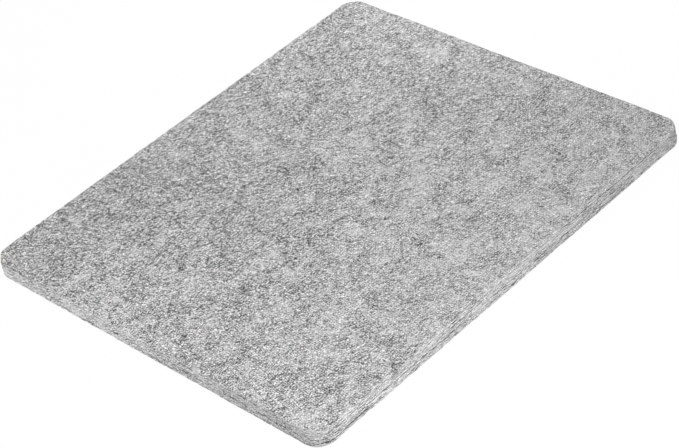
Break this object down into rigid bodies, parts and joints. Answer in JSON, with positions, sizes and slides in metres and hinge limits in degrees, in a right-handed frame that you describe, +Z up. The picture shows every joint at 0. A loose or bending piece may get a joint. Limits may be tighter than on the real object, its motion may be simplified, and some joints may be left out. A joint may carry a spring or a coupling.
{
  "type": "wool pressing mat",
  "caption": "Flat rectangular slab of heathered grey pressed-wool felt with rounded corners, needled from felt plies whose seams show round the edge, laid on a table to iron cloth on.",
  "frame": {"origin": "middle of the underside, on the table", "axes": "+X along the longer side, +Y along the shorter side, +Z up through the thickness"},
  "size_m": [0.3556, 0.3048, 0.0127],
  "materials": {
    "grey_wool_felt": "matt, heathered from pale and dark wool fibres"
  },
  "bodies": {
    "root": {"bottom_ply": "grey_wool_felt", "lower_ply": "grey_wool_felt", "middle_ply": "grey_wool_felt", "upper_ply": "grey_wool_felt", "top_ply": "grey_wool_felt"}
  },
  "joints": []
}
